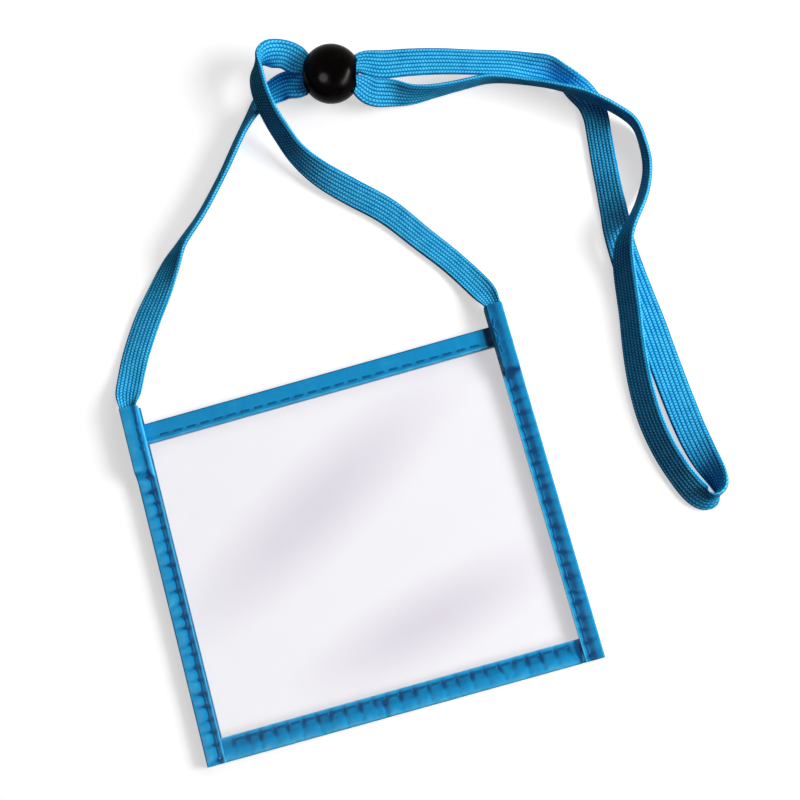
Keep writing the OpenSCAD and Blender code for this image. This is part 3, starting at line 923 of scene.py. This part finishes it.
@dataclass
class FoldedTape:
    """One binding tape: a strip folded lengthwise round an edge, puckered along its stitches."""

    name: str
    node: str
    edge: Edge
    lip: float
    wide: float
    fold: float
    start: float
    end: float
    under: float
    top: float
    crown: tuple
    # painted shade and light across the tape, by share of its width
    painted_shading_across: tuple
    holes: tuple[float, float, int]
    pucker: float
    # darkness of the painted shade in the hollow at each needle hole
    painted_hole_shade: float
    seed: int
    tall_top: float = 0.0
    tall_from: float = 0.0
    tall_to: float = 0.0
    # place along the tape, spread, depth, darkness of its painted shade (below 0 a painted highlight), and
    # the share of the width at which it begins
    creases: tuple = ()
    # darkness of the painted shade in the short cross creases at the needle holes
    cross: float = 0.0
    stitch_inset: float = 0.0013
    lip_drop: float = 0.0022
    lip_reach: float = 0.0009
    thick: float = 0.0003
    spacing: float = 0.0004
    flat_points: int = 24
    fold_points: int = 19
    back_points: int = 13
    fold_power: float = 0.85
    # least share of the painted shade and light kept round the fold
    fold_painted_shading: float = 0.4
    hole_shift: float = 0.00022
    hole_slant: float = 0.16
    hole_strength: tuple[float, float] = (0.55, 1.0)
    hole_spread: tuple[float, float] = (0.0005, 0.00085)
    pucker_fade: tuple[float, float] = (0.7, 1.0)
    swell_sizes: tuple[float, ...] = (0.0071, 0.0113, 0.0193)
    swell_lift: float = 0.22
    # painted light and shade that follow the slow swells
    swell_painted_shading: float = 0.12
    swell_turn: float = 6.28
    swell_skew: float = 300
    # where across the tape the painted shade at the needle holes lies, and how wide
    painted_hole_shade_off: float = 0.04
    painted_hole_shade_spread: float = 0.25
    cross_rise: tuple[float, float] = (0.05, 0.25)
    cross_fade: tuple[float, float] = (0.75, 1.0)
    cross_loss: float = 0.7
    crease_rise: float = 0.3
    tall_calm: float = 0.5

    def level(self, along: Array) -> Array:
        """The tape's top level along its length: low, then up a soft step where the strap is inside."""
        if not self.tall_top:
            return np.full_like(along, self.top)
        return self.top + (self.tall_top - self.top) * ease(along, self.tall_from, self.tall_to)

    def hole_marks(self, along: Array, across: Array) -> Array:
        """Works out how near each point is to a needle hole's pucker.

        Formula: a sum of bells along the tape, one at each hole between two stitches, each with its
        own seeded strength, offset, spread and slant.

        Args:
            along: place along the tape, in metres.
            across: place from the lip towards the fold, in metres.

        Returns:
            0 away from the holes, and up to about 1 at each.
        """
        first, pitch, count = self.holes
        draw = np.random.default_rng(self.seed)
        place = first + pitch * np.arange(count) + draw.normal(0, self.hole_shift, count)
        strength = draw.uniform(*self.hole_strength, count)
        slant = draw.normal(0, self.hole_slant, count)
        spread = draw.uniform(*self.hole_spread, count)
        shift = along[:, :, None] - slant * (across[:, :, None] - self.stitch_inset)
        return (strength * bell(shift, place, spread)).sum(-1)

    def relief(self, along: Array, across: Array) -> tuple[Array, Array]:
        """Works out the lift and the painted shading of the tape's upper layer.

        Formula: a crown curve across the tape, lowered at each needle hole by a pucker that fades
        towards the fold, and at each cross crease, with slow uneven swells along the tape. The painted
        shading is a curve across the tape, with painted shade at each needle hole, in each cross crease
        and in each crease, and painted light and shade that follow the swells.

        Args:
            along: place along the tape, in metres.
            across: place from the lip towards the fold, in metres.

        Returns:
            The lift in metres and the painted shading from -1 (painted shade) to 1 (painted light).
        """
        share = across / self.wide
        marks = self.hole_marks(along, across)
        draw = np.random.default_rng(self.seed + 100)
        swell = sum(
            np.sin(
                along * 2 * math.pi / size + draw.uniform(0, self.swell_turn)
                + across * draw.uniform(-self.swell_skew, self.swell_skew)
            )
            for size in self.swell_sizes
        ) / len(self.swell_sizes)
        sunk = self.pucker * np.clip(marks, 0, 1) * (1 - ease(share, *self.pucker_fade))
        lift = curve_through(self.crown, share) * (1 - sunk) * (1 + self.swell_lift * swell)
        # painted shade in the hollow just past each needle hole
        painted_hole_shade_place = self.stitch_inset / self.wide + self.painted_hole_shade_off
        painted_hole_shade = self.painted_hole_shade * marks * bell(share, painted_hole_shade_place, self.painted_hole_shade_spread)
        # painted shade in the short cross creases at the needle holes
        cross = ease(share, *self.cross_rise) * (1 - self.cross_loss * ease(share, *self.cross_fade))
        cross = self.cross * marks**2 * cross
        # painted shade and light: across the tape, at the holes, along the swells and in the creases
        painted_shading = curve_through(self.painted_shading_across, share) - painted_hole_shade + self.swell_painted_shading * swell - cross
        # each crease sinks and gets painted shade, or a painted highlight where its darkness is below 0
        for place, spread, deep, dark, first in self.creases:
            line = bell(along, place, spread) * ease(share, first, first + self.crease_rise)
            lift = lift - deep * line
            painted_shading = painted_shading - dark * line
        if self.tall_top:
            tall = ease(along, self.tall_from, self.tall_to)
            lip = 1 - ease(across, 0.0, self.lip_reach)
            lift = lift * (1 - self.tall_calm * tall) - self.lip_drop * tall * lip
        return lift, painted_shading

    def build(self, finish: Material) -> Object:
        """Builds the folded shell.

        Formula: from the upper lip straight to the fold, half an ellipse round the fold, and back
        under the pouch to the lower lip. The upper layer rises by the relief, which fades round
        the fold, and the shell is as thick as the tape everywhere.

        Args:
            finish: the tape's material.

        Returns:
            The tape.
        """
        run = np.linspace(self.start, self.end, int((self.end - self.start) / self.spacing) + 1)
        straight = self.wide - self.fold
        flat, back = np.linspace(0, straight, self.flat_points), np.linspace(straight, 0, self.back_points)
        turn = np.linspace(math.pi / 2, -math.pi / 2, self.fold_points + 2)[1:-1]
        bulge = np.sign(np.sin(turn)) * np.abs(np.sin(turn)) ** self.fold_power
        share = np.concatenate([np.ones_like(flat), np.clip(np.sin(turn), 0, 1), np.zeros_like(back)])
        top = self.level(run)[:, None]
        half = (top - self.under) / 2
        sheets = []
        for depth in (0.0, self.thick):
            fold = straight + (self.fold - depth) * np.cos(turn) ** self.fold_power
            across = np.concatenate([flat, fold, back])[None, :].repeat(len(run), 0)
            upper = (top - depth).repeat(len(flat), 1)
            lower = np.full((len(run), len(back)), self.under + depth)
            round_fold = self.under + half + (half - depth) * bulge
            sheets.append((across, np.concatenate([upper, round_fold, lower], 1)))
        outer, outer_height = sheets[0]
        along = run[:, None].repeat(outer.shape[1], 1)
        lift, painted_shading = self.relief(along, outer)
        grids = []
        for across, height in sheets:
            reach = self.lip + across
            level = [way * reach if way else along for way in self.edge.value]
            grids.append(np.stack([*level, height + lift * share], -1))
        walked = lengths_along(np.stack([outer[0], outer_height[0]], 1))
        surface = np.stack([along, walked[None, :].repeat(len(run), 0)], -1).reshape(-1, 2) / MM
        # painted shade and light only on the upper layer, faded round the fold to its least share
        painted_shading = np.where(share > 0, painted_shading * np.maximum(share, self.fold_painted_shading), 0.0).ravel()
        points, quads = np.stack(grids).reshape(-1, 3), shell_quads(*along.shape)
        piece = make_piece(self.name, points, [quads], np.tile(surface, (2, 1)), np.tile(painted_shading, 2), sharp=60)
        dress(piece, finish, "binding_tape", "pouch", self.node)
        return piece


# ---------------------------------------------------------------- films and threads


@dataclass
class PocketFilms:
    """The two clear sheets of the pouch, a little wavy where no tape holds them."""

    half_width: float = 0.05245
    low: float = -0.04795
    high: float = 0.043475
    thick: float = 0.00025
    columns: int = 90
    rows: int = 80
    held_side: float = 0.0475
    held_low: float = -0.0405
    held_high: float = 0.0375
    fade: float = 0.012
    # share of the height, radians a metre along x and y, and how many times the sheet's own start
    waves: tuple = ((0.3, 52, 34, 1), (0.2, -23, 71, 2))
    # piece, node, level of its underside, height of its waves, and their start
    sheets: tuple = (
        ("back_film", "back_window", 0.0006, 0.0001, 1.1),
        ("front_film", "front_window", 0.00225, 0.00022, 0.0),
    )

    def build(self, finish: Material) -> None:
        """Builds both sheets.

        Formula: a flat sheet that rises by slow crossed waves, which fade to nothing at the tapes.

        Args:
            finish: the film's material.
        """
        x, y = np.meshgrid(
            np.linspace(-self.half_width, self.half_width, self.columns),
            np.linspace(self.low, self.high, self.rows), indexing="ij",
        )
        inside = np.minimum(self.held_side - np.abs(x), np.minimum(y - self.held_low, self.held_high - y))
        free = ease(inside, 0.0, self.fade)
        surface = np.tile(np.stack([x, y], -1).reshape(-1, 2) / MM, (2, 1))
        for name, node, level, size, turn in self.sheets:
            wave = sum(part * np.sin(x * a + y * b + turn * times) for part, a, b, times in self.waves)
            height = level + size * free * (0.5 + wave)
            grids = [np.stack([x, y, height + depth], -1).reshape(-1, 3) for depth in (self.thick, 0.0)]
            piece = make_piece(name, np.concatenate(grids), [shell_quads(*x.shape)], surface)
            dress(piece, finish, "clear_vinyl", "pouch", node)


class Way(Enum):
    """The way that a row of stitches runs."""

    ACROSS = (1.0, 0.0, 0.0)
    ALONG = (0.0, 1.0, 0.0)


@dataclass(frozen=True)
class Seam:
    """How a row is sewn: its way, its pitch, one stitch's length, their count and their unevenness."""

    way: Way
    pitch: float
    length: float
    count: int
    wander: float


@dataclass
class Stitching:
    """A piece of sewing: rows of single stitches, each a short bowed thread."""

    name: str
    node: str
    seam: Seam
    places: tuple
    seed: int = 5
    width: float = 0.00072
    height: float = 0.0003
    sink: float = 0.00012
    dive: float = 0.55
    off_share: float = 0.3
    mid_level: float = 0.0015
    rings: int = 9
    sides: int = 8

    def build(self, finish: Material) -> Object:
        """Builds every stitch of the rows.

        Formula: along a stitch, the thread's middle stays level and dives at both ends with the
        eighth power of the distance from its middle, and its section is an ellipse.

        Args:
            finish: the thread's material.

        Returns:
            The rows as one piece.
        """
        seam, draw = self.seam, np.random.default_rng(self.seed)
        share = np.linspace(-1, 1, self.rings)
        turn = np.linspace(0, 2 * math.pi, self.sides, endpoint=False)
        ahead = np.array(seam.way.value)
        side = ahead[[1, 0, 2]]
        slim = np.sqrt(np.clip(1 - share**10, 0.05, 1))[:, None] / 2
        section = (np.cos(turn) * slim * self.width)[..., None] * side
        section = section + (np.sin(turn) * slim * self.height)[..., None] * UP
        stitches = []
        for x, y, z in self.places:
            up = 1.0 if z > self.mid_level else -1.0
            shift = (np.arange(seam.count) - (seam.count - 1) / 2) * seam.pitch
            tilt = draw.normal(0, 1, seam.count) * seam.wander
            off = draw.normal(0, 1, seam.count) * seam.wander * self.off_share
            line = np.array([x, y, 0]) + (shift[:, None] + share * seam.length / 2)[..., None] * ahead
            line = line + (share * tilt[:, None] + off[:, None])[..., None] * side
            line[..., 2] = z + up * (self.height / 2 - self.sink - self.height * self.dive * share**8)
            stitches.append(line[:, :, None] + section)
        points = np.concatenate(stitches)
        each, ring = self.rings * self.sides, np.arange(self.sides)
        first = np.arange(len(points))[:, None, None] * each
        caps = np.stack([ring[::-1], ring + each - self.sides])
        quads = grid_quads(self.rings, self.sides, wrap=True)
        faces = [(part + first).reshape(-1, part.shape[1]) for part in (quads, caps)]
        place = np.broadcast_arrays(((share + 1) * seam.length / 2 / MM)[:, None], turn / (2 * math.pi))
        surface = np.tile(np.stack(place, -1).reshape(-1, 2), (len(points), 1))
        piece = make_piece(self.name, points.reshape(-1, 3), faces, surface, sharp=70)
        dress(piece, finish, "sewing_thread", "pouch", self.node)
        return piece


@dataclass
class BadgePouch:
    """The pouch: two films, five folded tapes and their sewing, and the two tacks of the strap."""

    half_width: float = 0.054
    half_height: float = 0.04925
    side_wide: float = 0.0052
    side_inset: float = 0.00155
    across_pitch: float = 0.0038
    side_pitch: float = 0.0035
    stitch: float = 0.003
    side_row: float = 0.0501
    side_middle: float = -0.009432
    side_count: int = 22
    across_count: int = 24
    top_row: float = 0.03985
    bottom_row: float = -0.04415
    tape_top: float = 0.0028
    side_top: float = 0.0031
    tall_top: float = 0.005664
    top_levels: tuple = ((0.00195, 0.0028), (0.0003, 0.00115))
    tacks: tuple = (("left", -0.0499, 8), ("right", 0.0502, 9))
    tack_row: float = 0.04045
    films: PocketFilms = field(default_factory=PocketFilms)

    def holes(self, pitch: float, count: int, middle: float = 0.0) -> tuple[float, float, int]:
        """The first needle hole's place, the pitch and the count of holes of one row of stitches."""
        return middle - pitch * count / 2, pitch, count + 1

    def side_tapes(self) -> list[FoldedTape]:
        """Describes the two side tapes, with the crown, the painted shade and light, and the creases that
        each one shows.

        Returns:
            The left tape and the right one.
        """
        side = dict(
            lip=self.half_width - self.side_wide, wide=self.side_wide, fold=0.0005,
            start=-self.half_height, end=self.half_height, under=0.0, top=self.side_top,
            holes=self.holes(self.side_pitch, self.side_count, self.side_middle),
            tall_top=self.tall_top, tall_from=0.0285, tall_to=0.0319,
        )
        left = FoldedTape(
            "left_tape", "left_binding", Edge.LEFT, pucker=0.9, painted_hole_shade=0.85, cross=0.8, seed=11,
            crown=(
                (0, 0.0001), (0.12, 0.0001), (0.25, 0.00002), (0.42, 0.0002), (0.65, 0.00036),
                (0.9, 0.0003), (1, 0.0002),
            ),
            # painted highlight on the lip, painted shade along the stitches, painted light on the pillows
            painted_shading_across=(
                (0, 1), (0.05, 0.6), (0.09, -0.4), (0.2, -0.75), (0.32, -0.4), (0.43, 0.1),
                (0.65, 0.35), (0.9, 0.35), (1, 0.4),
            ),
            # a crease at the foot of the tall part, with painted shade
            creases=((0.0304, 0.0005, 0.00012, 0.7, 0.1),), **side,
        )
        right = FoldedTape(
            "right_tape", "right_binding", Edge.RIGHT, pucker=0.8, painted_hole_shade=0.6, cross=0.3, seed=23,
            crown=(
                (0, 0.0002), (0.12, 0.00018), (0.25, 0.0), (0.45, 0.00006), (0.75, 0.0003),
                (0.92, 0.00026), (1, 0.0001),
            ),
            # painted highlight on the lip, a band of painted shade where the tape rises towards its fold
            painted_shading_across=(
                (0, 1), (0.06, 0.5), (0.12, -0.1), (0.24, -0.5), (0.5, -0.65), (0.64, -0.4),
                (0.78, -0.15), (0.93, 0.05), (1, 0.15),
            ),
            # creases with painted shade
            creases=((0.0304, 0.0005, 0.00012, 0.6, 0.1), (0.019, 0.0006, 0.0001, 0.45, 0.1)), **side,
        )
        return [left, right]

    def across_tapes(self) -> list[FoldedTape]:
        """Describes the tapes across the pouch in the same way.

        Returns:
            The front top tape, the back top one and the bottom one.
        """
        end = self.half_width - self.side_inset
        across = dict(start=-end, end=end, holes=self.holes(self.across_pitch, self.across_count))
        top_bar = dict(
            wide=0.0054, lip=0.03855, fold=0.00042, edge=Edge.TOP, pucker=0.6,
            crown=((0, 0.0001), (0.14, 0.00008), (0.24, 0.0), (0.4, 0.00008), (0.8, 0.00008), (1, 0.00003)),
            # painted highlight on the lip, painted shade along the stitches and a painted shade line along
            # the fold
            painted_shading_across=(
                (0, 0.7), (0.06, 0.45), (0.11, -0.18), (0.24, -0.22), (0.34, 0.02), (0.9, 0.05),
                (0.97, -0.7), (1, -0.9),
            ),
            **across,
        )
        front, back = (dict(under=under, top=top) for under, top in self.top_levels)
        return [
            FoldedTape(
                "front_top_tape", "front_top_binding", painted_hole_shade=0.15, seed=31,
                # a painted highlight line and beside it a painted shadow where the bar runs in under the
                # right side tape
                creases=((0.0466, 0.0002, -0.00006, -0.8, -1), (0.0478, 0.0007, 0.0002, 1.5, -1)),
                **front, **top_bar,
            ),
            FoldedTape("back_top_tape", "back_top_binding", painted_hole_shade=0.12, seed=37, **back, **top_bar),
            FoldedTape(
                "bottom_tape", "bottom_binding", Edge.BOTTOM, wide=0.0064, lip=0.04285, fold=0.00045,
                under=0.0003, top=self.tape_top, pucker=0.85, painted_hole_shade=0.65, cross=0.35, seed=43,
                crown=(
                    (0, 0.00016), (0.12, 0.00014), (0.2, 0.0), (0.4, 0.00008), (0.7, 0.0003),
                    (0.92, 0.00024), (1, 0.00014),
                ),
                # painted highlight on the lip, painted shade below the stitches, painted light on the fold
                painted_shading_across=(
                    (0, 0.8), (0.06, 0.4), (0.11, -0.1), (0.25, -0.4), (0.45, -0.35), (0.65, 0.05),
                    (0.85, 0.4), (1, 0.7),
                ),
                # a crease with painted shade, and a painted shadow where the bar runs in under the right side
                # tape
                creases=((-0.0048, 0.0006, 0.0002, 0.6, 0.1), (0.0477, 0.0007, 0.0002, 1.4, -1)), **across,
            ),
        ]

    def sewing(self) -> list[Stitching]:
        """Describes the sewing.

        Returns:
            The tapes' five stitchings, with front and underside rows, and the strap's two tacks.
        """
        across = Seam(Way.ACROSS, self.across_pitch, self.stitch, self.across_count, 0.00004)
        along = Seam(Way.ALONG, self.side_pitch, self.stitch, self.side_count, 0.00005)
        tack = Seam(Way.ALONG, self.side_pitch * 0.72, self.stitch * 0.8, 4, 0.0003)
        front, back = (tuple((0, self.top_row, z) for z in pair[::-1]) for pair in self.top_levels)
        bottom = tuple((0, self.bottom_row, z) for z in (self.tape_top, 0.0003))
        left, right = (((x, self.side_middle, self.side_top),) for x in (-self.side_row, self.side_row))
        rows = {
            "front_top": (across, front), "back_top": (across, back), "bottom": (across, bottom),
            "left": (along, left), "right": (along, right),
        }
        sewn = [Stitching(f"{name}_thread", f"{name}_stitching", *row) for name, row in rows.items()]
        for name, x, seed in self.tacks:
            place = ((x, self.tack_row, self.tall_top),)
            sewn.append(Stitching(f"{name}_tack", f"{name}_strap_tack", tack, place, seed))
        return sewn

    def build(self, film: Material, tape: Material, thread: Material) -> None:
        """Builds the films, the tapes and the sewing.

        Args:
            film: the sheets' material.
            tape: the tapes' material.
            thread: the sewing's material.
        """
        self.films.build(film)
        for strip in self.side_tapes() + self.across_tapes():
            strip.build(tape)
        for sewn in self.sewing():
            sewn.build(thread)


# ---------------------------------------------------------------- studio


class Face(Enum):
    """The outline of a lamp's face."""

    OBLONG = "RECTANGLE"
    OVAL = "ELLIPSE"


@dataclass(frozen=True)
class Lamp:
    """A soft lamp that faces the object.

    It stands turn degrees round from +X towards +Y, height degrees above the floor and away metres
    off. Its size is in metres and its power in watts. A highlight shows only in glossy surfaces, and
    the other lamps light only matt ones.
    """

    name: str
    turn: float
    height: float
    away: float
    size: tuple[float, float]
    power: float
    face: Face = Face.OBLONG
    highlight: bool = False


@dataclass
class Studio:
    """The pale floor, the soft lamps and the camera of the photograph."""

    camera_place: tuple = (0.0279, -0.0578, 0.4565)
    camera_right: tuple = (0.9625, -0.2626, -0.0676)
    camera_up: tuple = (0.2707, 0.9455, 0.1809)
    lens: float = 77.14
    sensor: float = 36.0
    clip: tuple[float, float] = (0.01, 50.0)
    floor_half: float = 4.0
    floor_drop: float = 0.00002
    ambient: float = 0.035
    lit_place: tuple[float, float, float] = (0.02, 0.05, 0.0)
    lamps: tuple[Lamp, ...] = (
        Lamp("key", -16, 34, 1.1, (0.62, 0.36), 13.6),
        Lamp("upper_key", 40, 42, 1.1, (0.8, 0.45), 4.2),
        Lamp("overhead_glow", 212, 50, 0.8, (0.48, 0.48), 19.0, Face.OVAL, highlight=True),
        Lamp("side_strip", -30, 16, 0.8, (0.8, 0.05), 26.0, highlight=True),
    )

    def put(self, name: str, data: object, axes: Array, place: Array) -> Object:
        """Puts a camera or a lamp into the scene.

        Args:
            name: its name.
            data: what the new object holds.
            axes: its own X, Y and Z directions, as columns.
            place: its place, in metres.

        Returns:
            The new object.
        """
        matrix = np.eye(4)
        matrix[:3, :3], matrix[:3, 3] = axes, place
        thing = bpy.data.objects.new(name, data)
        thing.matrix_world = Matrix(matrix.tolist())
        bpy.context.scene.collection.objects.link(thing)
        return thing

    def camera(self) -> None:
        """Sets the camera where the photograph was taken from, with its own axes."""
        data = bpy.data.cameras.new("view")
        data.lens, data.sensor_width = self.lens, self.sensor
        data.clip_start, data.clip_end = self.clip
        right = unit(np.array(self.camera_right))
        up = np.array(self.camera_up)
        up = unit(up - right * (up @ right))
        axes = np.stack([right, up, np.cross(right, up)], 1)
        bpy.context.scene.camera = self.put("view", data, axes, np.array(self.camera_place))

    def floor(self) -> None:
        """Lays the white floor. It keeps shadows, and is darker to scattered light than to the eye."""
        half = self.floor_half
        mesh = bpy.data.meshes.new("floor")
        corners = [(-half, -half, 0), (half, -half, 0), (half, half, 0), (-half, half, 0)]
        mesh.from_pydata(corners, [], [(0, 1, 2, 3)])
        plane = bpy.data.objects.new("floor", mesh)
        plane.location = (0, 0, -self.floor_drop)
        bpy.context.scene.collection.objects.link(plane)
        material = bpy.data.materials.new("pale_floor")
        graph = Graph.of(material)
        white = graph.add("ShaderNodeBsdfDiffuse", {"Color": (0.62, 0.61, 0.62, 1)}).outputs[0]
        glow = graph.add("ShaderNodeEmission", {"Color": (1, 0.99, 0.985, 1), "Strength": 0.6}).outputs[0]
        bright = graph.add("ShaderNodeAddShader", {0: white, 1: glow}).outputs[0]
        grey = graph.add("ShaderNodeBsdfDiffuse", {"Color": (0.05, 0.05, 0.055, 1)}).outputs[0]
        mixed = graph.add("ShaderNodeMixShader", {0: graph.seen(), 1: grey, 2: bright}).outputs[0]
        graph.add("ShaderNodeOutputMaterial", {"Surface": mixed})
        mesh.materials.append(material)

    def hang(self, lamp: Lamp) -> None:
        """Hangs one lamp so that it faces the object.

        Args:
            lamp: its place, size and power.
        """
        data = bpy.data.lights.new(lamp.name, "AREA")
        data.shape, data.size, data.size_y, data.energy = lamp.face.value, *lamp.size, lamp.power
        turn, height = math.radians(lamp.turn), math.radians(lamp.height)
        level = math.cos(height)
        way = np.array([level * math.cos(turn), level * math.sin(turn), math.sin(height)])
        right = unit(np.array([-way[1], way[0], 0.0]))
        axes = np.stack([right, np.cross(way, right), way], 1)
        hung = self.put(lamp.name, data, axes, way * lamp.away + np.array(self.lit_place))
        hung.visible_camera = False
        hung.visible_glossy, hung.visible_diffuse = lamp.highlight, not lamp.highlight

    def world(self) -> None:
        """Fills the room with weak light, which the eye sees as white."""
        world = bpy.data.worlds.new("studio")
        graph = Graph.of(world)
        strength = graph.math("MULTIPLY_ADD", graph.seen(), 1.0 - self.ambient, self.ambient)
        sky = graph.add("ShaderNodeBackground", {"Color": (1, 1, 1, 1), "Strength": strength}).outputs[0]
        graph.add("ShaderNodeOutputWorld", {"Surface": sky})
        bpy.context.scene.world = world

    def build(self) -> None:
        """Sets up the camera, the floor, the lamps and the world."""
        self.camera()
        self.floor()
        for lamp in self.lamps:
            self.hang(lamp)
        self.world()
        bpy.context.scene.view_settings.view_transform = "Standard"


def finishes() -> dict[str, Material]:
    """Builds every finish once.

    Returns:
        The materials, by the part that wears them.
    """
    braid = PatternFinish(
        "braided_cord", braid_group(), {"Roughness": 0.6, "Specular IOR Level": 0.02},
        bump=0.7, depth=0.00012, values={"Pitch": 0.82, "Lean": 0.55},
    )
    tape = PatternFinish("coated_binding", tape_group(), {"Specular IOR Level": 0.05}, 0.35, 0.00004)
    thread = PatternFinish(
        "polyester_thread", thread_group(), {"Roughness": 0.5, "Specular IOR Level": 0.05}, 0.5, 0.00004
    )
    ball = PatternFinish(
        "dark_polished_ball", handling_group(), {"Specular IOR Level": 0.02}, 0.05, 0.00001, Place.SOLID
    )
    return {
        "braid": braid.material(), "tape": tape.material(), "thread": thread.material(),
        "ball": ball.material(), "film": ClearFilm().material(),
    }


def main() -> None:
    """Builds the studio, then the bead, the strap and the pouch, and reports each piece."""
    logging.basicConfig(level=logging.INFO, format="%(message)s", stream=sys.stdout)
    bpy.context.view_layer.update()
    Studio().build()
    finish = finishes()
    bead = SliderBead()
    ball = bead.build(finish["ball"])
    NeckStrap().build(bead, ball, finish["braid"])
    BadgePouch().build(finish["film"], finish["tape"], finish["thread"])


if __name__ == "__main__":
    main()
